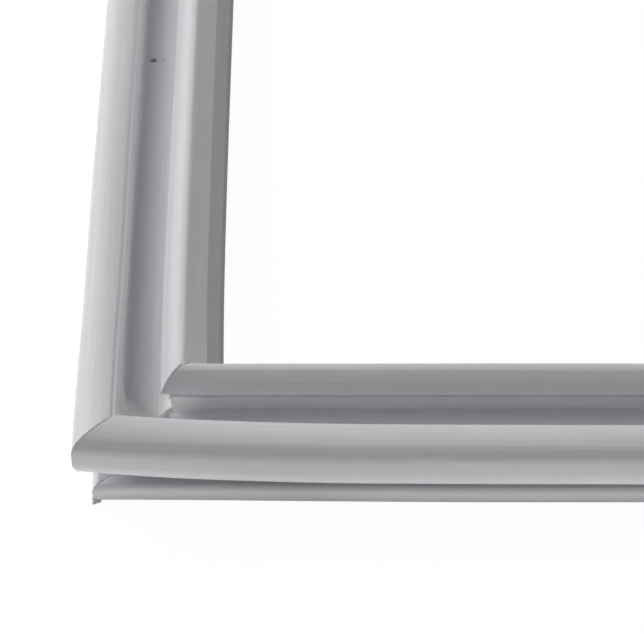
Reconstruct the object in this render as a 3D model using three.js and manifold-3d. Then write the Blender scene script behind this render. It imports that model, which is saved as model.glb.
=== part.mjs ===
// A refrigerator door gasket, lying on its sealing side with the mounting dart up.
// Millimetres, +Z up. The origin is the middle of the frame, level with the flat sealing face.
//
// The gasket is one soft extrusion, cut to four sides, mitred and welded at the corners. Its section is
// drawn in (w, z): w runs inwards from the outermost point of the lip, z is the height above the table.
import * as THREE from "three";
import { mergeVertices, toCreasedNormals } from "three/addons/utils/BufferGeometryUtils.js";
import Module from "manifold-3d";

// Frame
const frameWidth = 520; // outside, along X
const frameDepth = 420; // outside, along Y
const sideBow = 1.1; // how far the left and right sides bow out beyond their welded corners
const settleLength = 26; // the pull of a weld on the section falls to a third over this distance
const settleSteps = [0, 0.3, 0.8, 1.6, 3.2]; // multiples of that distance with a row of points

// Base web and the groove beside the dart
const baseHeight = 11; // groove floor at the foot of the dart
const baseWall = 0.9;
const grooveWidth = 9.3; // lip edge to dart stem
const grooveDrop = 0.2; // fall of the groove floor at the lip
const grooveCrown = 0.5; // rise of the groove floor before the stem
const grooveCrownInset = 1.7; // from the stem to that rise
const shoulderWidth = 1.4; // base web on the inner side of the stem
const shoulderRound = 0.5;

// Mounting dart. Its crest lies on the lip's side of the stem, and its inner barb is the lower one.
const sealHeight = 21.3; // table to the dart's crest
const dartWidth = 8.9; // over the barbs
const dartHeadHeight = 4.5; // tip of the outer barb to the crest
const innerBarbDrop = 0.8; // tip of the outer barb down to that of the inner one
const outerFlankCrown = 0.2; // how far the head's outer flank stands out at its middle
const innerFlankHollow = 0.15; // how far its inner flank falls in there
const crestWidth = 1.3; // across the rounded crest
const crestShift = 0.75; // from the stem's middle towards the lip
const crestDrop = 0.2;
const barbUndercut = 0.9; // how far the barb overhangs just below its tip
const barbThickness = 0.65;
const stepDrop = 2.25; // barb tip to the second step
const stepWidth = 6.3; // over the second step
const stepThickness = 0.75;
const stemWidth = 5.3;
const stemTaper = 0.2; // each side, towards the foot
const stemFillet = 0.5;

// Outer lip, a cane of one thickness that stands on the base web
const lipWidth = 8.9; // outermost point to the sharp edge at the groove
const lipTop = 17.9;
const lipWall = 0.9;
const lipRim = 6.3; // height of the free rim
const lipShoulderRadius = 3.2;
const lipCrownRadius = 8.4; // the flatter curve over the top
const lipCrownStart = 16; // degrees from upright, where the shoulder passes into it
const lipCrownEnd = 18;
const lipBellyRadius = 13;
const lipBellyHeight = 13.9; // height at which the belly is outermost
const lipEdgeDrop = 1.6; // from the top down to the sharp edge at the groove
const lipBevelWidth = 0.75; // of the narrow bevel at that edge
const lipBevelDrop = 0.8;
const lipFootSpread = 0.6; // fillet where the lip stands on the base web
const cornerLift = 2.8; // how far a weld holds the lip above its free height
const cornerLiftAtRim = 3.9;

// Air chamber
const filmWall = 0.6; // bellows, sealing web and pocket
const sideWall = 0.8; // inner wall of the chamber
const wallSplay = 3.2; // base web to the foot of the inner wall
const kneeShare = 0.75; // part of the splay above the wall's knee
const kneeHeight = 4.4;
const toeReach = 0.8; // thin toe beyond the inner wall
const toeHeight = 0.6;
const toeTaper = 0.7; // share of its reach at its upper side
const toeFillet = 0.5;
const pleatWidth = 2.1; // how far the bellows folds outwards
const pleatFilm = 1; // measured across, where the fold slopes
const pleatInset = 8.8; // where the bellows stands on the pocket

// Magnet and its pocket
const magnetWidth = 10;
const magnetThickness = 2.5;
const magnetClearance = 0.3;
const magnetEndGap = 6; // from the mitre to the end of a strip, at the pocket's inner side
const pocketInset = 2.6; // outermost point of the lip to the pocket's outer wall
const pocketEndRoom = 1.2; // rounded room outside the magnet
const pocketTopRadius = 1.6;
const pocketFootRadius = 0.9;
const pocketFootChamfer = 0.3; // inside

// Vents, needle holes through the groove floor and on into the pocket
const ventDiameter = 1;
const ventFromCorner = 126;
const ventFromEdge = 2.2; // from the lip's edge

const arcSteps = 5;

// Places across the section that follow from the sizes above
const stemOuter = lipWidth + grooveWidth;
const grooveFoot = baseHeight - grooveDrop;
const dartMiddle = stemOuter + stemWidth / 2;
const baseInner = stemOuter + stemWidth + shoulderWidth;
const wallFoot = baseInner + wallSplay;
const pocketHeight = magnetThickness + 2 * magnetClearance + 2 * filmWall;
const pocketOuter = pocketInset + filmWall;
const magnetOuter = pocketOuter + pocketEndRoom;
const pocketInner = magnetOuter + magnetWidth + magnetClearance;
const pocketCeiling = pocketHeight - filmWall;

// Points on an arc in the section, from one angle to another, in degrees
function arc([w, z], radius, from, to, steps = arcSteps) {
  return Array.from({ length: steps + 1 }, (_, i) => {
    const angle = THREE.MathUtils.degToRad(from + ((to - from) * i) / steps);
    return [w + radius * Math.cos(angle), z + radius * Math.sin(angle)];
  });
}

// A line moved to its left by a distance, point by point
function offset(points, distance) {
  return points.map(([w, z], i) => {
    const [w0, z0] = points[Math.max(i - 1, 0)];
    const [w1, z1] = points[Math.min(i + 1, points.length - 1)];
    const length = Math.hypot(w1 - w0, z1 - z0);
    return [w - ((z1 - z0) * distance) / length, z + ((w1 - w0) * distance) / length];
  });
}

// One side of the dart from the foot of its stem up to the crest; side is 1 inwards, -1 outwards
function dartSide(side, barbHeight, flankRise) {
  const crest = [dartMiddle - crestShift + (side * crestWidth) / 2, sealHeight - crestDrop];
  const barb = [dartMiddle + (side * dartWidth) / 2, barbHeight];
  const stem = [
    [stemWidth / 2 - stemTaper, baseHeight + stemFillet],
    [stemWidth / 2, barbHeight - stepDrop - stepThickness],
    [stepWidth / 2, barbHeight - stepDrop],
    [dartWidth / 2 - barbUndercut, barbHeight - barbThickness],
  ].map(([w, z]) => [dartMiddle + side * w, z]);
  const flank = [(barb[0] + crest[0]) / 2, (barb[1] + crest[1]) / 2 + flankRise];
  return [...stem, barb, flank, crest];
}

// The dart, from the inner foot of its stem over the crest to the outer foot
function dartLine() {
  const barbHeight = sealHeight - dartHeadHeight;
  const inner = dartSide(1, barbHeight - innerBarbDrop, -innerFlankHollow);
  const outer = dartSide(-1, barbHeight, outerFlankCrown);
  return [...inner, [dartMiddle - crestShift, sealHeight], ...outer.reverse()];
}

// The lip's outer side from its foot in the groove to the free rim. A weld holds the lip up by cornerLift.
function lipLine(weld) {
  const bellyDrop = lipBellyHeight - lipRim;
  const bellyAngle = THREE.MathUtils.radToDeg(Math.asin(bellyDrop / lipBellyRadius));
  const crownTilt = THREE.MathUtils.degToRad(lipCrownStart);
  const centreStep = lipCrownRadius - lipShoulderRadius;
  const crownCentre = [lipShoulderRadius + centreStep * Math.sin(crownTilt), lipTop - lipCrownRadius];
  const shoulderCentre = [lipShoulderRadius, crownCentre[1] + centreStep * Math.cos(crownTilt)];
  const free = [
    [lipWidth, lipTop - lipEdgeDrop],
    [lipWidth - lipBevelWidth, lipTop - lipEdgeDrop + lipBevelDrop],
    ...arc(crownCentre, lipCrownRadius, 90 - lipCrownEnd, 90 + lipCrownStart, 3),
    ...arc(shoulderCentre, lipShoulderRadius, 90 + lipCrownStart, 180, 4).slice(1),
    ...arc([lipBellyRadius, lipBellyHeight], lipBellyRadius, 180, 180 + bellyAngle, 4),
  ];
  const foot = [
    [lipWidth + lipFootSpread, grooveFoot],
    [lipWidth + lipFootSpread / 3, grooveFoot + lipFootSpread],
  ];
  const lifted = free.map(([w, z]) => {
    const share = (lipTop - z) / (lipTop - lipRim);
    return [w, z + weld * THREE.MathUtils.lerp(cornerLift, cornerLiftAtRim, share)];
  });
  return [...foot, ...lifted];
}

// The closed outline of the gasket's section, anticlockwise from the pocket's foot
function outline(weld) {
  const bottom = [
    ...arc([pocketInset + pocketFootRadius, pocketFootRadius], pocketFootRadius, 180, 270, 3),
    [wallFoot, 0],
    [wallFoot + toeReach, toeHeight / 2],
    [wallFoot + toeReach * toeTaper, toeHeight],
  ];
  const innerWall = [
    [wallFoot, toeHeight + toeFillet],
    [baseInner + wallSplay * kneeShare, kneeHeight],
    [baseInner, baseHeight - shoulderRound],
    [baseInner - shoulderRound, baseHeight],
    [stemOuter + stemWidth + stemTaper, baseHeight],
  ];
  const grooveFloor = [
    [stemOuter - stemTaper, baseHeight],
    [stemOuter - grooveCrownInset, baseHeight + grooveCrown],
    [stemOuter - grooveWidth / 2, baseHeight + grooveCrown / 2],
  ];
  const lipOuter = lipLine(weld);
  const lipInner = offset(lipOuter, lipWall).reverse();
  const [endOuter, endInner] = [lipOuter.at(-1), lipInner[0]];
  const rimCentre = [(endOuter[0] + endInner[0]) / 2, (endOuter[1] + endInner[1]) / 2];
  const rimTip = [
    rimCentre[0] - (endOuter[1] - endInner[1]) / 2,
    rimCentre[1] + (endOuter[0] - endInner[0]) / 2,
  ];
  const bellows = [
    [lipWidth - pleatWidth, (baseHeight - baseWall + pocketHeight) / 2],
    [pleatInset, pocketHeight],
  ];
  const pocketTop = arc(
    [pocketInset + pocketTopRadius, pocketHeight - pocketTopRadius],
    pocketTopRadius,
    90,
    180,
  );
  return [
    ...bottom,
    ...innerWall,
    ...dartLine(),
    ...grooveFloor,
    ...lipOuter,
    rimTip,
    ...lipInner,
    ...bellows,
    ...pocketTop,
  ];
}

// The air chamber between the base web and the sealing web, anticlockwise
function chamberOutline() {
  const ceiling = baseHeight - baseWall;
  const kneeInside = baseInner + wallSplay * kneeShare - sideWall;
  return [
    [pocketInner + filmWall, filmWall],
    [wallFoot - sideWall, filmWall],
    [kneeInside, kneeHeight],
    [baseInner - sideWall, ceiling - shoulderRound],
    [baseInner - sideWall - shoulderRound, ceiling],
    [lipWidth + pleatFilm, ceiling],
    [lipWidth + pleatFilm - pleatWidth, (ceiling + pocketHeight) / 2],
    [pleatInset + pleatFilm, pocketHeight],
    [pocketInner + filmWall, pocketHeight],
  ];
}

// The hollow of the magnet pocket, anticlockwise, with its outer end rounded as the wall outside it is
function pocketOutline() {
  const radius = pocketTopRadius - filmWall;
  return [
    [pocketOuter + pocketFootChamfer, filmWall],
    [pocketInner, filmWall],
    [pocketInner, pocketCeiling],
    ...arc([pocketOuter + radius, pocketCeiling - radius], radius, 90, 180, 3),
    [pocketOuter, filmWall + pocketFootChamfer],
  ];
}

// The four sides, walked anticlockwise seen from above: where each starts, which way it runs, which way is in
const cornerX = frameWidth / 2 - sideBow;
const cornerY = frameDepth / 2;
const sides = {
  front: { start: [-cornerX, -cornerY], along: [1, 0], inward: [0, 1], length: 2 * cornerX, bow: 0 },
  right: { start: [cornerX, -cornerY], along: [0, 1], inward: [-1, 0], length: 2 * cornerY, bow: sideBow },
  back: { start: [cornerX, cornerY], along: [-1, 0], inward: [0, -1], length: 2 * cornerX, bow: 0 },
  left: { start: [-cornerX, cornerY], along: [0, -1], inward: [1, 0], length: 2 * cornerY, bow: sideBow },
};

// How far the section has settled to its free form at a distance from the mitre, from 0 to 1
function settled(distance) {
  const rise = (multiple) => 1 - Math.exp(-multiple);
  return Math.min(rise(distance / settleLength) / rise(settleSteps.at(-1)), 1);
}

// A section point in space, at a place along a side, where the distance to the nearest mitre sets the bow
function place(side, along, [w, z], fromMitre) {
  const inward = w - side.bow * settled(fromMitre);
  return [
    side.start[0] + side.along[0] * along + side.inward[0] * inward,
    side.start[1] + side.along[1] * along + side.inward[1] * inward,
    z,
  ];
}

// Faces between rows of points, each row one copy of the same loop
function skin(rows, closed) {
  const count = rows[0].length;
  const faces = [];
  const strips = closed ? rows.length : rows.length - 1;
  for (let i = 0; i < strips; i++) {
    for (let j = 0; j < count; j++) {
      const here = i * count;
      const next = ((i + 1) % rows.length) * count;
      const k = (j + 1) % count;
      faces.push(here + j, here + k, next + j, here + k, next + k, next + j);
    }
  }
  if (!closed) {
    const last = (rows.length - 1) * count;
    for (let j = 1; j < count - 1; j++) {
      faces.push(0, j + 1, j, last, last + j, last + j + 1);
    }
  }
  return { points: rows.flat(), faces };
}

// One skin of the welded frame: a loop of the section carried round all four sides and mitred
function frameSkin(loopAt) {
  const rows = Object.values(sides).flatMap((side) => {
    const distances = settleSteps.map((multiple) => multiple * settleLength);
    const first = distances.map((distance) =>
      loopAt(1 - settled(distance)).map((point) => place(side, point[0] + distance, point, distance)),
    );
    const second = distances.slice(1).map((distance) =>
      loopAt(1 - settled(distance)).map((point) =>
        place(side, side.length - point[0] - distance, point, distance),
      ),
    );
    return [...first, ...second.reverse()];
  });
  return skin(rows, true);
}

function geometryOf(skins) {
  const positions = [];
  const index = [];
  for (const { points, faces } of skins) {
    const first = positions.length / 3;
    positions.push(...points.flat());
    index.push(...faces.map((vertex) => vertex + first));
  }
  const geometry = new THREE.BufferGeometry();
  geometry.setAttribute("position", new THREE.Float32BufferAttribute(positions, 3));
  geometry.setIndex(index);
  return geometry;
}

const wasm = await Module();
wasm.setup();

function solidOf(geometry) {
  const bare = geometry.clone();
  bare.deleteAttribute("normal");
  bare.deleteAttribute("uv");
  const merged = mergeVertices(bare, 1e-4);
  return new wasm.Manifold(
    new wasm.Mesh({
      numProp: 3,
      vertProperties: new Float32Array(merged.attributes.position.array),
      triVerts: new Uint32Array(merged.index.array),
    }),
  );
}

function geometryFrom(solid) {
  const mesh = solid.getMesh();
  const geometry = new THREE.BufferGeometry();
  geometry.setAttribute("position", new THREE.BufferAttribute(mesh.vertProperties, 3));
  geometry.setIndex(new THREE.BufferAttribute(mesh.triVerts, 1));
  return geometry;
}

// A needle hole at a place along a side, from above the groove floor down into the pocket
function ventTool(side, along) {
  const top = baseHeight + grooveCrown + ventDiameter;
  const bottom = (filmWall + pocketCeiling) / 2;
  const tool = new THREE.CylinderGeometry(ventDiameter / 2, ventDiameter / 2, top - bottom, 6);
  const [x, y, z] = place(side, along, [lipWidth + ventFromEdge, (top + bottom) / 2], ventFromCorner);
  tool.rotateX(Math.PI / 2);
  tool.translate(x, y, z);
  return tool;
}

function sealFrame() {
  const hollow = (loop) => () => [...loop].reverse();
  const skins = [
    frameSkin(outline),
    frameSkin(hollow(chamberOutline())),
    frameSkin(hollow(pocketOutline())),
  ];
  let solid = solidOf(geometryOf(skins));
  for (const side of Object.values(sides)) {
    for (const along of [ventFromCorner, side.length - ventFromCorner]) {
      solid = solid.subtract(solidOf(ventTool(side, along)));
    }
  }
  const mesh = new THREE.Mesh(
    toCreasedNormals(geometryFrom(solid), Math.PI / 6),
    new THREE.MeshStandardMaterial({ color: 0xdfe1e4, roughness: 0.45, metalness: 0 }),
  );
  mesh.name = "seal_frame";
  return mesh;
}

// One flexible magnet strip, cut square at both ends, lying in the pocket of one side
function magnetStrip(name, side) {
  const low = filmWall + magnetClearance;
  const middle = magnetOuter + magnetWidth / 2;
  const loop = [
    [magnetOuter, low],
    [magnetOuter + magnetWidth, low],
    [magnetOuter + magnetWidth, low + magnetThickness],
    [magnetOuter, low + magnetThickness],
  ];
  const end = pocketInner + magnetEndGap;
  const bends = settleSteps.map((multiple) => multiple * settleLength + middle);
  const first = [end, ...bends.filter((along) => along > end + 1)];
  const rows = [...first, ...first.map((along) => side.length - along).reverse()].map((along) => {
    const fromMitre = Math.min(along, side.length - along) - middle;
    return loop.map((point) => place(side, along, point, fromMitre));
  });
  const mesh = new THREE.Mesh(
    toCreasedNormals(geometryOf([skin(rows, false)]), Math.PI / 6),
    new THREE.MeshStandardMaterial({ color: 0x3a302b, roughness: 0.8, metalness: 0 }),
  );
  mesh.name = `magnet_${name}`;
  return mesh;
}

const gasket = new THREE.Group();
gasket.add(sealFrame());
for (const [name, side] of Object.entries(sides)) gasket.add(magnetStrip(name, side));

export default gasket;
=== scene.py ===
import math
import bpy
import bmesh
import numpy as np
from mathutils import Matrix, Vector, noise


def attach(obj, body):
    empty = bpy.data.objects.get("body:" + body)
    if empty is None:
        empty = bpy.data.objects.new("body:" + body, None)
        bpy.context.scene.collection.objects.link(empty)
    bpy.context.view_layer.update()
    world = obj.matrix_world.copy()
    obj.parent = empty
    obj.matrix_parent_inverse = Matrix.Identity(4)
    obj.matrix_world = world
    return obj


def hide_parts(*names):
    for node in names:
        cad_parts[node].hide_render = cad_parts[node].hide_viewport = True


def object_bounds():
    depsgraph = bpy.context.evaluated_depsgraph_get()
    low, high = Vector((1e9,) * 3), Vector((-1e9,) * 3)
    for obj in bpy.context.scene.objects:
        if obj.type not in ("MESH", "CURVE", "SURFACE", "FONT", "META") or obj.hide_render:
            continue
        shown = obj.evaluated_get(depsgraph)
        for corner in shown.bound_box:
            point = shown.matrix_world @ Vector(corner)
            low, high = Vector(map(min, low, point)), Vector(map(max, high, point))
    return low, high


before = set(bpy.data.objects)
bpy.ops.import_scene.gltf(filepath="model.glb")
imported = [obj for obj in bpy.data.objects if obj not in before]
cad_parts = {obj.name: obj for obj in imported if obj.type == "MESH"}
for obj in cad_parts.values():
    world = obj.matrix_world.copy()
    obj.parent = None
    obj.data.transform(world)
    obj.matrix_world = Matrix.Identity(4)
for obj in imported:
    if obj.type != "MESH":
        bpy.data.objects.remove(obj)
cadLow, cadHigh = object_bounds()
mm = 0.001
print("frame loaded:", ", ".join(sorted(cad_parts)))

# How the frame lies: the left and right sides bow out beyond the welded corners,
# and each weld holds the lip up
lay = {
    "sideBow": 1.1, # mm
    "settleLength": 26, # mm along a side over which the pull of a weld falls to a third
    "settleEnd": 83.2, # mm from the mitre, where the section has its free form
    "lipLift": 2.8, # mm at the top of the lip
    "rimLift": 3.9, # mm at its free rim
    "grooveSpan": (9.4, 18.3), # w of the groove floor
    "grooveTop": 11.7, # the floor's highest point
    "foldReach": 14.1, # the groove floor is folded up where distance + lean (w - start) < reach
    "foldLean": 2.18,
    "foldStart": 8.2,
    "foldSlope": 0.42,
    "dartFrom": 16, # w past which a high point belongs to the dart
    "headFrom": 15.4, # z at which the lift of the dart's head begins
    "headRamp": 1.2,
    "headLift": 0.5, # mm, of the head of the dart
    "crestPull": 0.5, # mm outwards, of its crest
    "headReach": 4, # mm
    "dent": 0.35, # mm inwards, of the lip beside the corner in the photograph
    "dentAt": 42, # mm from the mitre
    "dentReach": 26, # mm
    "pocketPull": 0.4, # mm inwards, of the pocket's outer wall
    "pocketRise": 0.4, # mm
    "pocketReach": 50, # mm
    "wander": 0.16, # mm, the slow unevenness of a soft extrusion
}

# The outermost point of the lip at the corner that the photograph shows
shownCorner = Vector((cadLow.x + lay["sideBow"] * mm, cadLow.y, 17 * mm))

photoCamera = {
    "lens": 154.68, # mm on a 36 mm sensor
    "pitch": 45, # degrees below the horizon
    "fromCorner": (48.15, -357.3, 395.2), # mm
}


def makeCamera(c):
    data = bpy.data.cameras.new("photoCamera")
    data.sensor_width = 36
    data.lens = c["lens"]
    data.clip_start = 0.01
    data.clip_end = 20
    camera = bpy.data.objects.new("photoCamera", data)
    camera.location = shownCorner + Vector(c["fromCorner"]) * mm
    camera.rotation_euler = (math.radians(90 - c["pitch"]), 0, 0)
    bpy.context.scene.collection.objects.link(camera)
    bpy.context.scene.camera = camera


makeCamera(photoCamera)
print("camera placed")


# The section is drawn in mm: w runs inwards from the outermost point of the lip, z up from the table.
# Corners are (w, z, radius).
dart = {
    "inner": [
        (23.3, 11, 0.4), # foot of the stem
        (23.5, 13, 0.25),
        (24.0, 13.75, 0.15), # second step
        (24.4, 15.35, 0.25),
        (25.3, 16.0, 0.14), # barb
        (23.1, 18.4, 3),
        (21.9, 20.0, 0.9),
    ],
    "crest": (21.1, 20.75, 0.9),
    "outer": [
        (19.6, 20.5, 1.2),
        (17.93, 19.15, 3),
        (16.4, 16.5, 0.14), # barb
        (18.3, 16.2, 0.2), # the undercut behind it
        (18.3, 14.85, 0.3),
        (17.75, 14.35, 0.15), # second step
        (18.2, 13.8, 0.25),
        (18.4, 11, 0.4), # foot of the stem
    ],
}
lip = {
    "width": 8.9,
    "top": 17.9,
    "edge": 16.1, # height of the sharp edge at the groove
    "bevel": (8.1, 17.0),
    "crease": (7.45, 17.2),
    "shoulder": 3.2,
    "crown": 8.4, # radius of the flatter curve over the top
    "crownStart": 16, # degrees from upright
    "crownEnd": 18,
    "bellyRadius": 7.1,
    "belly": 11.6, # height down to which the lip is upright
    "rim": 6.3,
    "rimBead": 0.5, # radius of the bead along the free rim
    "wall": 0.9,
    "footSpread": 0.6,
}
web = {
    "top": 11.0,
    "wall": 0.9,
    "grooveFoot": 10.8,
    "crown": (16.5, 11.5),
    "shoulder": 24.3,
    "knee": (26.9, 4.4),
    "foot": (27.55, 1.1),
    "toe": 28.3,
    "toeTop": 0.6,
    "film": 0.6,
    "sideWall": 0.8,
}
pocket = {
    "outer": 2.6,
    "inner": 15.3,
    "height": 4.3,
    "topRadius": 1.6,
    "footRadius": 0.9,
}
bellows = {
    "fold": (6.8, 7.2),
    "foot": 8.8,
    "across": 1.0,
}


# A line with its corners rounded: each corner is (w, z, radius)
def rounded(corners, closed=False, turn=18):
    points = []
    count = len(corners)
    for i, (w, z, radius) in enumerate(corners):
        here = Vector((w, z))
        if not closed and i in (0, count - 1):
            points.append(here)
            continue
        before = Vector(corners[i - 1][:2]) - here
        after = Vector(corners[(i + 1) % count][:2]) - here
        half = before.angle(after) / 2
        reach = min(radius / math.tan(half), before.length * 0.45, after.length * 0.45)
        radius = reach * math.tan(half)
        if radius < 0.02:
            points.append(here)
            continue
        bisector = (before.normalized() + after.normalized()).normalized()
        centre = here + bisector * (radius / math.sin(half))
        first = here + before.normalized() * reach - centre
        sweep = math.pi - 2 * half
        if before.x * after.y - before.y * after.x > 0:
            sweep = -sweep
        steps = max(2, round(abs(math.degrees(sweep)) / turn))
        for k in range(steps + 1):
            a = sweep * k / steps
            along, across = math.cos(a), math.sin(a)
            turned = (first.x * along - first.y * across, first.x * across + first.y * along)
            points.append(centre + Vector(turned))
    return points


def arc(centre, radius, start, end, steps):
    angles = [math.radians(start + (end - start) * k / steps) for k in range(steps + 1)]
    return [Vector((centre[0] + radius * math.cos(a), centre[1] + radius * math.sin(a))) for a in angles]


# Points added on long stretches, so that no step is longer than the gap
def spaced(points, gap):
    full = []
    for a, b in zip(points, points[1:]):
        steps = max(1, math.ceil((b - a).length / gap))
        full += [a.lerp(b, k / steps) for k in range(steps)]
    return full + [points[-1]]


def offset(points, distance):
    moved = []
    for i, point in enumerate(points):
        run = points[min(i + 1, len(points) - 1)] - points[max(i - 1, 0)]
        run.normalize()
        moved.append(point + Vector((-run.y, run.x)) * distance)
    return moved


# The lip's outer side from its foot in the groove, over the top and down the belly to the free rim
def lipLine():
    wide = lip["width"]
    tilt = math.radians(lip["crownStart"])
    step = lip["crown"] - lip["shoulder"]
    crownCentre = (lip["shoulder"] + step * math.sin(tilt), lip["top"] - lip["crown"])
    shoulderCentre = (lip["shoulder"], crownCentre[1] + step * math.cos(tilt))
    bellyAngle = math.degrees(math.asin((lip["belly"] - lip["rim"]) / lip["bellyRadius"]))
    crown = arc(crownCentre, lip["crown"], 90 - lip["crownEnd"], 90 + lip["crownStart"], 8)
    shoulder = arc(shoulderCentre, lip["shoulder"], 90 + lip["crownStart"], 180, 9)
    belly = arc((lip["bellyRadius"], lip["belly"]), lip["bellyRadius"], 180, 180 + bellyAngle, 10)
    upper = rounded([
        (wide + lip["footSpread"], web["grooveFoot"], 0),
        (wide + lip["footSpread"] / 4, web["grooveFoot"] + 0.5, 0.6),
        (wide, lip["edge"], 0.14),
        (*lip["bevel"], 0.3),
        (*lip["crease"], 0.5),
        (*crown[0], 0),
    ])
    return spaced(upper[:-1] + crown + shoulder[1:] + belly, 0.8)


# The round bead along the free rim, from the lip's outer face to its inner face
def rimLine(outside, inside):
    middle = (outside[-1] + inside[0]) / 2
    out = (outside[-1] - inside[0]).normalized()
    down = Vector((-out.y, out.x))
    centre = middle + out * 0.1 + down * 0.12
    crease = middle + out * (lip["wall"] / 2 - 0.04) - down * 0.3
    radius = lip["rimBead"]
    bead = [
        centre + out * radius * math.cos(a) + down * radius * math.sin(a)
        for a in np.radians([-35, -15, 5, 25, 45, 70, 100, 130, 160])
    ]
    return [crease] + bead


# The closed outline, anticlockwise from the pocket's foot, and how far a weld pulls each of its points
def outline():
    start = [
        (pocket["outer"], pocket["height"] / 2, 0),
        (pocket["outer"], 0, pocket["footRadius"]),
        (web["toe"], 0, 0.2),
        (web["toe"] - 0.15, web["toeTop"], 0.2),
        (*web["foot"], 0.6),
        (*web["knee"], 3),
        (web["shoulder"], web["top"], 0.5),
        *dart["inner"],
        dart["crest"],
        *dart["outer"],
        (*web["crown"], 2),
        (lip["width"] + lip["footSpread"], web["grooveFoot"], 0),
    ]
    base = spaced(rounded(start), 1.1)[:-1]
    outside = lipLine()
    inside = offset(outside, lip["wall"])[::-1]
    rim = rimLine(outside, inside)
    under = rounded([
        (*inside[-1], 0),
        (*bellows["fold"], 0.8),
        (bellows["foot"], pocket["height"], 0.3),
        (pocket["outer"] + pocket["topRadius"], pocket["height"], 0),
    ])
    under = spaced(under, 1.5)[1:-1]
    radius = pocket["topRadius"]
    top = arc((pocket["outer"] + radius, pocket["height"] - radius), radius, 90, 180, 7)
    points = base + outside[:-1] + rim + inside + under + top
    onLip = range(len(base), len(base) + len(outside) - 1 + len(rim) + len(inside))
    return points, [pullShares(point, i in onLip) for i, point in enumerate(points)]


# How far a point takes part in each pull of a weld: on the lip, the groove floor,
# the dart's head and the pocket
def pullShares(point, onLip):
    w, z = point
    foot = web["grooveFoot"]
    lipShare = 0.0
    if onLip:
        wall = w > lip["width"] - lip["wall"] - 0.3 and z < lip["edge"]
        lipShare = min(max((z - foot) / (lip["edge"] - foot), 0), 1) if wall else 1.0
    left, right = lay["grooveSpan"]
    onFloor = left < w < right and foot < z < lay["grooveTop"]
    inGroove = onLip and w > lip["width"] - 0.1 or onFloor
    floorShare = 1 - lipShare if inGroove else 0.0
    onDart = not onLip and w > lay["dartFrom"]
    headShare = min(max((z - lay["headFrom"]) / lay["headRamp"], 0), 1) if onDart else 0.0
    pocketShare = min(max((6 - w) / 3, 0), 1) if z < 5 else 0.0
    return lipShare, floorShare, headShare, pocketShare


def chamberOutline():
    ceiling = web["top"] - web["wall"]
    fold = (bellows["fold"][0] + bellows["across"], bellows["fold"][1], 0.6)
    corners = [
        (pocket["inner"], web["film"], 0.3),
        (web["foot"][0] - web["sideWall"], web["film"], 0.3),
        (web["knee"][0] - web["sideWall"], web["knee"][1], 2),
        (web["shoulder"] - web["sideWall"], ceiling, 0.6),
        (lip["width"] + bellows["across"], ceiling, 0.3),
        fold,
        (bellows["foot"] + bellows["across"], pocket["height"], 0.3),
        (pocket["inner"], pocket["height"], 0.2),
    ]
    return rounded(corners, closed=True, turn=30)[::-1]


def pocketOutline():
    film = web["film"]
    corners = [
        (pocket["outer"] + film, film, 0.4),
        (pocket["inner"] - film, film, 0),
        (pocket["inner"] - film, pocket["height"] - film, 0),
        (pocket["outer"] + film, pocket["height"] - film, pocket["topRadius"] - film),
    ]
    return rounded(corners, closed=True, turn=30)[::-1]


# The four sides, anticlockwise from above, from mitre to mitre in mm
cornerX = -cadLow.x / mm - lay["sideBow"]
cornerY = -cadLow.y / mm
sides = {
    "front": {"start": (-cornerX, -cornerY), "along": (1, 0), "length": 2 * cornerX, "bow": 0},
    "right": {"start": (cornerX, -cornerY), "along": (0, 1), "length": 2 * cornerY, "bow": lay["sideBow"]},
    "back": {"start": (cornerX, cornerY), "along": (-1, 0), "length": 2 * cornerX, "bow": 0},
    "left": {"start": (-cornerX, cornerY), "along": (0, -1), "length": 2 * cornerY, "bow": lay["sideBow"]},
}

weld = {
    "ridge": 0.1, # mm, the bead of melt squeezed out along each mitre
    "ridgeWidth": 0.16,
    "crease": 0.15, # mm, depth of the open crease beside it
    "creaseAt": 0.35,
    "creaseWidth": 0.12,
    "rows": [0, 0.1, 0.2, 0.3, 0.4, 0.5, 0.65, 0.85, 1.1, 1.5, 2, 2.8, 3.8, 5, 6.5, 8.5,
             11, 14, 17, 20, 24, 28, 33, 38, 44, 51, 60, 71, 83.2],
    "rowGap": 14, # mm between rows on the straight runs
}


def settled(distance):
    rise = 1 - math.exp(-distance / lay["settleLength"])
    return min(rise / (1 - math.exp(-lay["settleEnd"] / lay["settleLength"])), 1)


# Height of the squeezed-out melt beside a mitre, uneven along it
def weldRelief(point, distance, seed):
    if distance > 1.4:
        return 0.0
    rough = noise.noise(Vector((point.x * 0.9, point.y * 0.9, seed * 7.1)))
    fine = noise.noise(Vector((point.x * 3.1, point.y * 3.1, seed * 3.7 + 5)))
    across = distance / weld["ridgeWidth"]
    ridge = weld["ridge"] * (0.8 + 1.1 * rough + 0.7 * fine) * math.exp(-across * across)
    opened = min(max(0.2 + 1.8 * rough, 0), 1.2)
    gap = (distance - weld["creaseAt"]) / weld["creaseWidth"]
    return max(ridge, 0) - weld["crease"] * opened * math.exp(-gap * gap)


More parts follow.
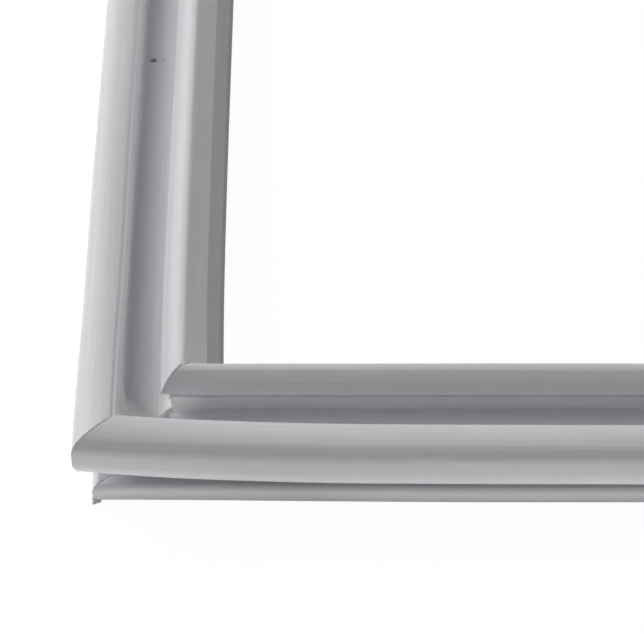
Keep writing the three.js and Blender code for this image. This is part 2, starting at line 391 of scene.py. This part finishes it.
# Where a point of the section lies at a distance from the nearest mitre
def pulled(point, shares, distance):
    lipShare, floorShare, headShare, pocketShare = shares
    w, z = point
    pull = 1 - settled(distance)
    drop = (lip["top"] - z) / (lip["top"] - lip["rim"])
    z += pull * lipShare * (lay["lipLift"] + (lay["rimLift"] - lay["lipLift"]) * drop)
    folded = lay["foldReach"] - lay["foldLean"] * (w - lay["foldStart"]) - distance
    z += lay["foldSlope"] * floorShare * max(folded, 0)
    held = math.exp(-distance / lay["headReach"])
    z += lay["headLift"] * headShare * held
    w -= lay["crestPull"] * headShare * min(max((point[1] - 17.5) / 3, 0), 1) * held
    fade = math.exp(-((distance / lay["pocketReach"]) ** 2)) * pocketShare
    w += lay["pocketPull"] * fade
    z += lay["pocketRise"] * fade
    return w, z


# Distances from the start of a side at which a row of points is laid, as (kind, value)
def rowPlaces(length, detailed):
    near = weld["rows"] if detailed else [0, 8, 20, 42, 83.2]
    gaps = round((length - 2 * near[-1] - 2 * web["toe"]) / weld["rowGap"]) if detailed else 1
    places = [("start", d) for d in near] + [("middle", k / gaps) for k in range(1, gaps)]
    return places + [("end", d) for d in reversed(near[1:])]


# One loop of points, carried round the four sides and mitred at the corners
def carried(points, shares, detailed):
    count = len(points)
    normals = []
    for i in range(count):
        run = (points[(i + 1) % count] - points[i - 1]).normalized()
        normals.append(Vector((run.y, -run.x)))
    rows, lengths = [], []
    total = 0
    furthest = weld["rows"][-1]
    for number, side in enumerate(sides.values()):
        length = side["length"]
        ax, ay = side["along"]
        for kind, value in rowPlaces(length, detailed):
            distance = furthest if kind == "middle" else value
            corner = (number + 1) % 4 if kind == "end" else number
            row = []
            for point, share, normal in zip(points, shares, normals):
                w, z = pulled(point, share, distance)
                if detailed and point.y > 0.3:
                    relief = weldRelief(point, distance, corner)
                    w += normal.x * relief
                    z += normal.y * relief
                along = w + value
                if kind == "end":
                    along = length - w - value
                if kind == "middle":
                    first = w + furthest
                    along = first + (length - 2 * first) * value
                if detailed and point.y > 0.3:
                    free = settled(distance)
                    sway = 0.6 + noise.noise(Vector((along * 0.021, number * 9.7, 2.2)))
                    sag = noise.noise(Vector((along * 0.034, number * 4.1, 7.9)))
                    w += lay["wander"] * min(point.y / 6, 1) * free * sway
                    z += lay["wander"] * share[0] * free * sag * 1.5
                w -= side["bow"] * settled(distance)
                if side is sides["left"] and kind == "end":
                    away = (value - lay["dentAt"]) / lay["dentReach"]
                    w += lay["dent"] * share[0] * math.exp(-away * away)
                x = side["start"][0] + ax * along - ay * w
                y = side["start"][1] + ay * along + ax * w
                row.append((x, y, max(z, 0)))
            rows.append(row)
            lengths.append(total + along)
        total += length
    return np.array(rows) * mm, lengths


def skinMesh(rows):
    count = rows.shape[1]
    faces = []
    for i in range(len(rows)):
        here, after = i * count, ((i + 1) % len(rows)) * count
        for j in range(count):
            k = (j + 1) % count
            faces.append((here + j, here + k, after + k, after + j))
    return rows.reshape(-1, 3), faces


def meshObject(name, verts, faces):
    mesh = bpy.data.meshes.new(name)
    mesh.from_pydata([tuple(v) for v in verts], [], faces)
    mesh.update()
    made = bpy.data.objects.new(name, mesh)
    bpy.context.scene.collection.objects.link(made)
    return made


# Painted shade at a point of the outline: 1 on the inner wall of the chamber, which is painted darker
def innerWallShade(point):
    w, z = point
    if w > web["shoulder"] - 0.2 and z < web["top"] - 0.4:
        return min((web["top"] - 0.4 - z) / 1.2, 1)
    return 0.0


barbCrease = {
    "w": (17.7, 18.6),
    "z": (14.5, 15.2),
}


# Painted shade in the crease under the dart's outer barb
def creaseShade(point):
    w, z = point
    near, far = barbCrease["w"]
    low, high = barbCrease["z"]
    return 1.0 if near < w < far and low < z < high else 0.0


def makeSeal():
    points, shares = outline()
    rows, lengths = carried(points, shares, True)
    verts, faces = skinMesh(rows)
    verts = list(map(tuple, verts))
    for hollow in (chamberOutline(), pocketOutline()):
        hollowShares = [(0, 0, 0, pullShares(point, False)[3]) for point in hollow]
        more, moreFaces = skinMesh(carried(hollow, hollowShares, False)[0])
        first = len(verts)
        verts += list(map(tuple, more))
        faces += [tuple(v + first for v in face) for face in moreFaces]
    seal = meshObject("door_gasket", verts, faces)
    count = len(points)
    around = [0.0]
    for a, b in zip(points, points[1:] + points[:1]):
        around.append(around[-1] + (b - a).length * mm)
    layer = seal.data.uv_layers.new(name="runAndGirth")
    for face, polygon in zip(faces, seal.data.polygons):
        if face[0] >= len(rows) * count:
            continue
        wraps = max(v % count for v in face) - min(v % count for v in face) > 1
        closes = max(face) // count - min(face) // count > 1
        for loop, v in zip(polygon.loop_indices, face):
            i, j = divmod(v, count)
            girth = around[count] if wraps and j == 0 else around[j]
            run = 4 * (cornerX + cornerY) if closes and i == 0 else lengths[i]
            layer.data[loop].uv = (run * mm, girth)
    # Painted shade on the inner wall of the chamber
    wallShading = [innerWallShade(point) for point in points] * len(rows)
    wallShading += [0.0] * (len(verts) - len(wallShading))
    seal.data.attributes.new("innerWallShade", "FLOAT", "POINT").data.foreach_set("value", wallShading)
    shade = [creaseShade(point) for point in points] * len(rows)
    shade += [0.0] * (len(verts) - len(shade))
    seal.data.attributes.new("creaseShade", "FLOAT", "POINT").data.foreach_set("value", shade)
    print("seal skin:", count, "points round,", len(rows), "rows")
    return seal


# Places of corner details: mm inwards from the corner along both sides, and height
def cornerPlace(corner, inX, inY, z):
    sx, sy = ((-1, -1), (1, -1), (1, 1), (-1, 1))[corner]
    return Vector((sx * (cornerX - inX), sy * (cornerY - inY), z)) * mm


# Melt that the hot plates squeezed out at the corners: place, half sizes along and across the mitre and up
melt = {
    "crestFlash": {"at": (21.25, 21.25, 20.8), "size": (0.8, 0.28, 0.34), "rough": 0.25},
    "stemBlob": {"at": (16.85, 15.7, 11.6), "size": (0.75, 0.65, 0.85), "rough": 0.12},
    "stemSliver": {"at": (16.1, 17.2, 11.05), "size": (0.8, 0.35, 0.3), "rough": 0.15},
    "stemFoot": {"at": (17.7, 17.1, 11.4), "size": (1.1, 0.5, 0.9), "rough": 0.2},
    "lipTip": {"at": (8.75, 8.75, 18.95), "size": (0.5, 0.3, 0.42), "rough": 0.2},
    "floorSwell": {"at": (21.9, 15.4, 10.9), "size": (2.9, 2.5, 0.75), "rough": 0.02},
    "pocketNub": {"at": (3.45, 3.15, 0.6), "size": (0.65, 0.45, 0.5), "rough": 0.35},
    "pocketTail": {"at": (3.2, 2.65, 0.38), "size": (0.4, 0.36, 0.34), "rough": 0.4},
    "pocketBranch": {"at": (4.1, 3.05, 0.42), "size": (0.7, 0.3, 0.34), "rough": 0.4},
}
# Places where the weld has stayed open
gaps = {
    "crestGap": {"at": (20.25, 20.25, 21.2), "size": (0.6, 0.15, 0.4), "rough": 0.15},
    "shelfGap": {"at": (4.7, 4.7, 4.4), "size": (0.65, 0.14, 0.4), "rough": 0.15},
    "pleatGap": {"at": (7.7, 7.7, 4.5), "size": (0.95, 0.2, 0.55), "rough": 0.15},
}
otherCorners = 0.75 # size of these details at the corners that the photograph doesn't show

# Needle holes through which air leaves the pocket and the chamber
vents = {
    "fromCorner": 126,
    "across": 11.8,
    "radius": 0.78,
    "burr": (1.2, 0.8, 0.7), # half sizes along, across and up
    "burrShift": 1.2, # mm from the hole towards the dart
    "tilt": 12.34, # degrees from upright, towards the lip
    "length": 9,
    "depth": 3, # mm from the groove floor to the needle's middle
}


# A lump added to a bmesh; turn is in degrees about the vertical
def addLump(build, centre, size, turn, rough, seed):
    made = bmesh.ops.create_icosphere(build, subdivisions=3, radius=1)
    swing = math.radians(turn)
    for vert in made["verts"]:
        p = vert.co.copy()
        p *= 1 + rough * noise.noise(p * 1.9 + Vector((seed, 0, 0)))
        x, y, z = p.x * size[0], p.y * size[1], p.z * size[2]
        turned = (x * math.cos(swing) - y * math.sin(swing), x * math.sin(swing) + y * math.cos(swing), z)
        vert.co = centre + Vector(turned) * mm
        vert.co.z = max(vert.co.z, 0.00002)


def addNeedle(build, centre, lean):
    made = bmesh.ops.create_cone(build, cap_ends=True, segments=20, radius1=1, radius2=1, depth=1)
    for vert in made["verts"]:
        p = vert.co * mm
        wide = vents["radius"] * (1 + 0.12 * noise.noise(vert.co * 2))
        rise = p.z * vents["length"]
        vert.co = centre + Vector((p.x * wide, p.y * wide, rise)) + lean * rise


# One mesh of all the lumps of one kind at the four corners
def lumpMesh(name, lumps):
    build = bmesh.new()
    for corner in range(4):
        scale = 1 if corner == 0 else otherCorners
        turn = 45 if corner in (0, 2) else -45
        for number, c in enumerate(lumps.values()):
            size = [k * scale for k in c["size"]]
            addLump(build, cornerPlace(corner, *c["at"]), size, turn, c["rough"], number * 3.1 + corner)
    return build


def finished(build, name):
    mesh = bpy.data.meshes.new(name)
    build.to_mesh(mesh)
    build.free()
    made = bpy.data.objects.new(name, mesh)
    bpy.context.scene.collection.objects.link(made)
    return made


# The vents: two on each side, each with a burr pushed up towards the dart
def ventPlaces():
    for side in sides.values():
        for along in (vents["fromCorner"], side["length"] - vents["fromCorner"]):
            ax, ay = side["along"]
            w = vents["across"] - side["bow"]
            x = side["start"][0] + ax * along - ay * w
            y = side["start"][1] + ay * along + ax * w
            yield Vector((x, y, 11)) * mm, Vector((-ay, ax, 0)), Vector((ax, ay, 0))


def carve(seal):
    lumps = lumpMesh("melt", melt)
    holes = lumpMesh("gaps", gaps)
    for number, (place, inward, along) in enumerate(ventPlaces()):
        turn = math.degrees(math.atan2(along.y, along.x))
        burrPlace = place + inward * vents["burrShift"] * mm
        addLump(lumps, burrPlace, vents["burr"], turn, 0.15, number * 1.7)
        lean = inward * -math.tan(math.radians(vents["tilt"]))
        addNeedle(holes, place - Vector((0, 0, vents["depth"] * mm)), lean)
    for operation, build in (("UNION", lumps), ("DIFFERENCE", holes)):
        tool = finished(build, "tool" + operation.title())
        cut = seal.modifiers.new(operation, "BOOLEAN")
        cut.operation = operation
        cut.solver = "MANIFOLD"
        cut.object = tool
        solid = bpy.data.meshes.new_from_object(seal.evaluated_get(bpy.context.evaluated_depsgraph_get()))
        seal.modifiers.clear()
        seal.data = solid
        bpy.data.objects.remove(tool)
        print("weld and vents,", operation.lower() + ":", len(solid.polygons), "faces")


seal = makeSeal()
carve(seal)
for polygon in seal.data.polygons:
    polygon.use_smooth = True
seal.data.set_sharp_from_angle(angle=math.radians(50))
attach(seal, "root")
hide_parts("seal_frame")
print("seal made:", len(seal.data.polygons), "faces")


# Materials
class Wiring:
    def __init__(self, tree):
        self.tree = tree

    def node(self, kind, **values):
        made = self.tree.nodes.new("ShaderNode" + kind)
        for name, value in values.items():
            setattr(made, name, value)
        return made

    def join(self, source, target):
        self.tree.links.new(source, target)

    def maths(self, operation, a, b=None, c=None, clamp=False):
        made = self.node("Math", operation=operation, use_clamp=clamp)
        for socket, value in zip(made.inputs, (a, b, c)):
            if isinstance(value, (int, float)):
                socket.default_value = value
            elif value is not None:
                self.join(value, socket)
        return made.outputs["Value"]


# Fine lines that the extrusion die leaves along the strip; Place is (along, round the section, 0) in metres
def extrusionLines():
    group = bpy.data.node_groups.new("extrusionLines", "ShaderNodeTree")
    place = group.interface.new_socket("Place", in_out="INPUT", socket_type="NodeSocketVector")
    place.default_value = (0, 0, 0)
    spacing = group.interface.new_socket("Spacing", in_out="INPUT", socket_type="NodeSocketFloat")
    spacing.default_value = 0.0005
    group.interface.new_socket("Height", in_out="OUTPUT", socket_type="NodeSocketFloat")
    wires = Wiring(group)
    into = group.nodes.new("NodeGroupInput")
    out = group.nodes.new("NodeGroupOutput")
    across = wires.maths("DIVIDE", 1, into.outputs["Spacing"])
    axes = wires.node("CombineXYZ")
    axes.inputs["X"].default_value = 14
    wires.join(across, axes.inputs["Y"])
    stretch = wires.node("VectorMath", operation="MULTIPLY")
    wires.join(into.outputs["Place"], stretch.inputs[0])
    wires.join(axes.outputs["Vector"], stretch.inputs[1])
    lines = wires.node("TexNoise", noise_dimensions="2D")
    lines.inputs["Scale"].default_value = 1
    lines.inputs["Detail"].default_value = 2.5
    lines.inputs["Roughness"].default_value = 0.65
    wires.join(stretch.outputs["Vector"], lines.inputs["Vector"])
    wires.join(lines.outputs["Fac"], out.inputs["Height"])
    return group


linesGroup = extrusionLines()
softPvc = {
    "color": (0.752, 0.748, 0.776),
    "innerWallShadeColor": (0.515, 0.503, 0.49), # painted shade on the inner wall of the chamber
    "meltColor": (0.60, 0.52, 0.43), # melt stained by the hot plates and the magnet
    "stain": 0.3,
    "lowStain": 0.65, # added low down at the pocket
    "stainTop": 0.0022, # m above the table
    "stainLine": 0.0003, # half width of the stained line on the mitre
    "stainSpread": 0.0012, # added to it low down
    "stainBand": 0.0052, # m from the outermost edge
    "paintedLightColor": (0.97, 0.975, 0.98), # painted light round the foot of the dart
    "paintedLightReach": 0.007, # m from the mitre
    "paintedLightFrom": 0.0154, # m from the corner
    "paintedLightRamp": 0.002,
    "paintedLightHeights": (0.0109, 0.0164),
    "litTriangleShare": 0.7, # strength of the painted light on the folded corner of the groove floor
    "litTriangleFrom": 0.0085,
    "litTriangleTop": 0.0165,
    "cornerReach": 0.03, # m from the corner that the melt's tones go
    "speckColor": (0.30, 0.29, 0.27),
    "roughness": 0.48,
    "specular": 0.45,
    "lineSpacing": 0.00045,
    "lineDepth": 0.00014,
    "lineTone": 0.15,
    "mottle": 0.05,
    "mottleScale": 90,
    "patchyScale": 700,
    "grainScale": 2600,
    # painted shade in the crease under the barb
    "creaseShade": 0.5,
    "cells": 95, # specks are at most one to a cell, cells to the metre
    "speckShare": 0.16, # share of cells that have one
    "speckRadius": 0.00022,
}


def makePvc(c):
    material = bpy.data.materials.new("softPvc")
    material.use_nodes = True
    wires = Wiring(material.node_tree)
    shader = material.node_tree.nodes["Principled BSDF"]
    uv = wires.node("UVMap", uv_map="runAndGirth")
    coords = wires.node("TexCoord")
    lines = wires.node("Group", node_tree=linesGroup)
    lines.inputs["Spacing"].default_value = c["lineSpacing"]
    wires.join(uv.outputs["UV"], lines.inputs["Place"])

    # Tone: faint streaks along the lines, slow mottling and painted shade in the crease under the barb
    cloud = wires.node("TexNoise")
    cloud.inputs["Scale"].default_value = c["mottleScale"]
    cloud.inputs["Detail"].default_value = 4
    wires.join(coords.outputs["Object"], cloud.inputs["Vector"])
    streak = wires.maths("MULTIPLY_ADD", lines.outputs["Height"], c["lineTone"], 1 - c["lineTone"] / 2)
    mottle = wires.maths("MULTIPLY_ADD", cloud.outputs["Fac"], c["mottle"], 1 - c["mottle"] / 2)
    crease = wires.node("Attribute", attribute_name="creaseShade")
    shade = wires.maths("MULTIPLY_ADD", crease.outputs["Fac"], -c["creaseShade"], 1)
    tone = wires.maths("MULTIPLY", wires.maths("MULTIPLY", streak, mottle), shade)

    # Painted shade: the inner wall of the chamber, darker and browner
    wallShading = wires.node("Attribute", attribute_name="innerWallShade")
    body = wires.node("Mix", data_type="RGBA")
    body.inputs["A"].default_value = (*c["color"], 1)
    body.inputs["B"].default_value = (*c["innerWallShadeColor"], 1)
    wires.join(wallShading.outputs["Fac"], body.inputs["Factor"])

    # Melt: a narrow stained band along the mitres, strongest low down at the pocket
    split = wires.node("SeparateXYZ")
    wires.join(coords.outputs["Object"], split.inputs["Vector"])
    inX = wires.maths("SUBTRACT", cornerX * mm, wires.maths("ABSOLUTE", split.outputs["X"]))
    inY = wires.maths("SUBTRACT", cornerY * mm, wires.maths("ABSOLUTE", split.outputs["Y"]))
    offMitre = wires.maths("ABSOLUTE", wires.maths("SUBTRACT", inX, inY))
    low = wires.maths("SUBTRACT", 1, wires.maths("DIVIDE", split.outputs["Z"], c["stainTop"]), clamp=True)
    reach = wires.maths("MULTIPLY_ADD", low, c["stainSpread"], c["stainLine"])
    band = wires.maths("SUBTRACT", 1, wires.maths("DIVIDE", offMitre, reach), clamp=True)
    patchy = wires.node("TexNoise")
    patchy.inputs["Scale"].default_value = c["patchyScale"]
    patchy.inputs["Detail"].default_value = 3
    wires.join(coords.outputs["Object"], patchy.inputs["Vector"])
    spots = wires.maths("MULTIPLY_ADD", patchy.outputs["Fac"], 2.6, -0.85, clamp=True)
    near = wires.maths("LESS_THAN", wires.maths("MAXIMUM", inX, inY), c["cornerReach"])
    stain = wires.maths("MULTIPLY", wires.maths("MULTIPLY", band, spots), near)
    outermost = wires.maths("LESS_THAN", wires.maths("MINIMUM", inX, inY), c["stainBand"])
    lowest = wires.maths("MULTIPLY", low, outermost)
    strength = wires.maths("MULTIPLY_ADD", lowest, c["lowStain"], c["stain"])
    stained = wires.node("Mix", data_type="RGBA")
    stained.inputs["B"].default_value = (*c["meltColor"], 1)
    wires.join(wires.maths("MULTIPLY", stain, strength), stained.inputs["Factor"])
    wires.join(body.outputs["Result"], stained.inputs["A"])

    # Painted light round the foot of the dart at the corners: a whiter patch
    level = split.outputs["Z"]
    bottom, top = c["paintedLightHeights"]
    nearer = wires.maths("MINIMUM", inX, inY)
    steep = 1 / c["paintedLightRamp"]
    deep = wires.maths("MULTIPLY_ADD", nearer, steep, -c["paintedLightFrom"] * steep, clamp=True)
    above = wires.maths("GREATER_THAN", level, bottom)
    below = wires.maths("LESS_THAN", level, top)
    spread = wires.maths("SUBTRACT", 1, wires.maths("DIVIDE", offMitre, c["paintedLightReach"]), clamp=True)
    around = wires.maths("MULTIPLY", wires.maths("MULTIPLY", above, below), deep)
    litFoot = wires.maths("MULTIPLY", around, wires.maths("MULTIPLY", spread, near))

    # Painted light: a paler triangle where the groove floor is folded up, from the lip to the mitre
    lean = lay["foldLean"]
    slant = wires.maths("MULTIPLY_ADD", nearer, lean, -lay["foldStart"] * mm * lean)
    short = wires.maths("LESS_THAN", wires.maths("ADD", slant, offMitre), lay["foldReach"] * mm)
    pastLip = wires.maths("GREATER_THAN", nearer, c["litTriangleFrom"])
    inGroove = wires.maths("MULTIPLY", pastLip, wires.maths("LESS_THAN", level, c["litTriangleTop"]))
    litTriangle = wires.maths("MULTIPLY", wires.maths("MULTIPLY", short, inGroove), c["litTriangleShare"])
    # Painted light mixed into the colour: round the dart's foot and on the groove floor's triangle
    lightened = wires.node("Mix", data_type="RGBA")
    lightened.inputs["B"].default_value = (*c["paintedLightColor"], 1)
    pale = wires.maths("MAXIMUM", wires.maths("MULTIPLY", litFoot, 1.5), wires.maths("MULTIPLY", litTriangle, near))
    wires.join(wires.maths("MINIMUM", pale, 1), lightened.inputs["Factor"])
    wires.join(stained.outputs["Result"], lightened.inputs["A"])

    # Sparse specks of dust and burnt compound
    cells = wires.node("TexVoronoi")
    cells.inputs["Scale"].default_value = c["cells"]
    wires.join(coords.outputs["Object"], cells.inputs["Vector"])
    pick = wires.node("SeparateColor")
    wires.join(cells.outputs["Color"], pick.inputs["Color"])
    chosen = wires.maths("LESS_THAN", pick.outputs["Red"], c["speckShare"])
    size = wires.maths("MULTIPLY_ADD", pick.outputs["Green"], c["speckRadius"] * c["cells"], 0.004)
    inside = wires.maths("SUBTRACT", 1, wires.maths("DIVIDE", cells.outputs["Distance"], size), clamp=True)
    specked = wires.node("Mix", data_type="RGBA")
    specked.inputs["B"].default_value = (*c["speckColor"], 1)
    wires.join(wires.maths("MULTIPLY", inside, chosen), specked.inputs["Factor"])
    wires.join(lightened.outputs["Result"], specked.inputs["A"])

    toned = wires.node("VectorMath", operation="SCALE")
    wires.join(specked.outputs["Result"], toned.inputs[0])
    wires.join(tone, toned.inputs["Scale"])
    wires.join(toned.outputs["Vector"], shader.inputs["Base Color"])
    shader.inputs["Specular IOR Level"].default_value = c["specular"]
    rough = wires.maths("MULTIPLY_ADD", cloud.outputs["Fac"], 0.12, c["roughness"] - 0.06)
    wires.join(rough, shader.inputs["Roughness"])

    grain = wires.node("TexNoise")
    grain.inputs["Scale"].default_value = c["grainScale"]
    grain.inputs["Detail"].default_value = 2
    wires.join(coords.outputs["Object"], grain.inputs["Vector"])
    height = wires.maths("MULTIPLY_ADD", grain.outputs["Fac"], 0.12, lines.outputs["Height"])
    bump = wires.node("Bump")
    bump.inputs["Strength"].default_value = 0.5
    bump.inputs["Distance"].default_value = c["lineDepth"]
    wires.join(height, bump.inputs["Height"])
    wires.join(bump.outputs["Normal"], shader.inputs["Normal"])
    return material


bondedFerrite = {
    "color": (0.045, 0.034, 0.028),
    "dustColor": (0.10, 0.08, 0.065),
    "roughness": 0.72,
    "lineSpacing": 0.0006,
    "lineDepth": 0.00006,
}


def makeFerrite(c):
    material = bpy.data.materials.new("bondedFerrite")
    material.use_nodes = True
    wires = Wiring(material.node_tree)
    shader = material.node_tree.nodes["Principled BSDF"]
    coords = wires.node("TexCoord")
    split = wires.node("SeparateXYZ")
    wires.join(coords.outputs["Object"], split.inputs["Vector"])
    place = wires.node("CombineXYZ")
    wires.join(wires.maths("ADD", split.outputs["X"], split.outputs["Y"]), place.inputs["X"])
    wires.join(split.outputs["Z"], place.inputs["Y"])
    lines = wires.node("Group", node_tree=linesGroup)
    lines.inputs["Spacing"].default_value = c["lineSpacing"]
    wires.join(place.outputs["Vector"], lines.inputs["Place"])
    grit = wires.node("TexNoise")
    grit.inputs["Scale"].default_value = 1800
    grit.inputs["Detail"].default_value = 3
    wires.join(coords.outputs["Object"], grit.inputs["Vector"])
    dusty = wires.node("Mix", data_type="RGBA")
    dusty.inputs["A"].default_value = (*c["color"], 1)
    dusty.inputs["B"].default_value = (*c["dustColor"], 1)
    wires.join(grit.outputs["Fac"], dusty.inputs["Factor"])
    wires.join(dusty.outputs["Result"], shader.inputs["Base Color"])
    shader.inputs["Roughness"].default_value = c["roughness"]
    bump = wires.node("Bump")
    bump.inputs["Strength"].default_value = 0.6
    bump.inputs["Distance"].default_value = c["lineDepth"]
    wires.join(wires.maths("ADD", grit.outputs["Fac"], lines.outputs["Height"]), bump.inputs["Height"])
    wires.join(bump.outputs["Normal"], shader.inputs["Normal"])
    return material


seal.data.materials.clear()
seal.data.materials.append(makePvc(softPvc))
ferrite = makeFerrite(bondedFerrite)
for name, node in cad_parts.items():
    if name.startswith("magnet"):
        node.data.materials.clear()
        node.data.materials.append(ferrite)
print("materials made")

# Studio
studio = {
    "floorSize": 30,
    "ambient": 0.02,
    "floorColor": 0.9,
    "floorWhite": 0.9, # share of the white that the camera sees; the rest takes the shadow
    "cameraWhite": 1.06,
    "reflected": 1.4, # brightness of the table in reflections
    "reflectedWithin": 0.65, # the same inside the frame
    "rimGlow": 0.68, # light that the table sends up just outside the gasket
    "rimReach": 0.022,
}


def makeFloor(c):
    size = c["floorSize"]
    level = -0.0002
    corners = [(-size, -size, level), (size, -size, level), (size, size, level), (-size, size, level)]
    floor = meshObject("studio_floor", corners, [(0, 1, 2, 3)])
    material = bpy.data.materials.new("paleTable")
    material.use_nodes = True
    material.node_tree.nodes.clear()
    wires = Wiring(material.node_tree)
    out = wires.node("OutputMaterial")
    matte = wires.node("BsdfDiffuse")
    matte.inputs["Color"].default_value = (c["floorColor"],) * 3 + (1,)

    # A band just outside the gasket glows like a light table
    coords = wires.node("TexCoord")
    split = wires.node("SeparateXYZ")
    wires.join(coords.outputs["Object"], split.inputs["Vector"])
    outX = wires.maths("SUBTRACT", wires.maths("ABSOLUTE", split.outputs["X"]), cornerX * mm)
    outY = wires.maths("SUBTRACT", wires.maths("ABSOLUTE", split.outputs["Y"]), cornerY * mm)
    outside = wires.maths("MAXIMUM", outX, outY)
    fade = wires.maths("SUBTRACT", 1, wires.maths("DIVIDE", wires.maths("ABSOLUTE", outside), c["rimReach"]))
    beyond = wires.maths("GREATER_THAN", outside, 0)
    band = wires.maths("MULTIPLY", wires.maths("GREATER_THAN", fade, 0), beyond)
    glow = wires.node("Emission")
    path = wires.node("LightPath")
    soft = wires.maths("MULTIPLY", band, path.outputs["Is Diffuse Ray"])
    wires.join(wires.maths("MULTIPLY", soft, c["rimGlow"]), glow.inputs["Strength"])
    table = wires.node("AddShader")
    wires.join(matte.outputs[0], table.inputs[0])
    wires.join(glow.outputs[0], table.inputs[1])

    glossy = wires.node("Emission")
    rise = c["reflected"] - c["reflectedWithin"]
    shown = wires.maths("MULTIPLY_ADD", beyond, rise, c["reflectedWithin"])
    wires.join(shown, glossy.inputs["Strength"])
    reflected = wires.node("MixShader")
    wires.join(path.outputs["Is Glossy Ray"], reflected.inputs["Fac"])
    wires.join(table.outputs[0], reflected.inputs[1])
    wires.join(glossy.outputs[0], reflected.inputs[2])
    white = wires.node("Emission")
    white.inputs["Strength"].default_value = c["cameraWhite"]
    seen = wires.node("MixShader")
    wires.join(wires.maths("MULTIPLY", path.outputs["Is Camera Ray"], c["floorWhite"]), seen.inputs["Fac"])
    wires.join(reflected.outputs[0], seen.inputs[1])
    wires.join(white.outputs[0], seen.inputs[2])
    wires.join(seen.outputs[0], out.inputs["Surface"])
    floor.data.materials.append(material)


makeFloor(studio)


def makeWorld(c):
    world = bpy.data.worlds.new("studioWorld")
    bpy.context.scene.world = world
    world.use_nodes = True
    nodes, links = world.node_tree.nodes, world.node_tree.links
    nodes.clear()
    out = nodes.new("ShaderNodeOutputWorld")
    air = nodes.new("ShaderNodeBackground")
    air.inputs["Strength"].default_value = c["ambient"]
    white = nodes.new("ShaderNodeBackground")
    white.inputs["Color"].default_value = (1, 1, 1, 1)
    white.inputs["Strength"].default_value = 1
    path = nodes.new("ShaderNodeLightPath")
    mix = nodes.new("ShaderNodeMixShader")
    links.new(path.outputs["Is Camera Ray"], mix.inputs["Fac"])
    links.new(air.outputs[0], mix.inputs[1])
    links.new(white.outputs[0], mix.inputs[2])
    links.new(mix.outputs[0], out.inputs["Surface"])


makeWorld(studio)

# Large soft panels: azimuth from +X and height in degrees, watts
lamps = {
    "backLeft": {"from": (135, 30), "size": 1.0, "power": 15.5},
    "backLeftHigh": {"from": (135, 60), "size": 1.0, "power": 4.5},
    "backRight": {"from": (45, 30), "size": 1.0, "power": 5},
    "left": {"from": (180, 30), "size": 1.0, "power": 5.5},
    "front": {"from": (-90, 34), "size": 1.0, "power": 4.3},
    "right": {"from": (0, 40), "size": 1.0, "power": 1.6},
}
lampAim = Vector((-0.23, -0.15, 0))
lampDistance = 1.7


def makeLamp(name, c):
    data = bpy.data.lights.new(name, "AREA")
    data.size = c["size"]
    data.energy = c["power"]
    lamp = bpy.data.objects.new(name, data)
    azimuth, height = (math.radians(k) for k in c["from"])
    level = math.cos(height)
    toLamp = Vector((math.cos(azimuth) * level, math.sin(azimuth) * level, math.sin(height)))
    lamp.location = lampAim + toLamp * lampDistance
    lamp.rotation_euler = (-toLamp).to_track_quat("-Z", "Y").to_euler()
    bpy.context.scene.collection.objects.link(lamp)


for name, c in lamps.items():
    makeLamp(name, c)

scene = bpy.context.scene
scene.view_settings.view_transform = "Standard"
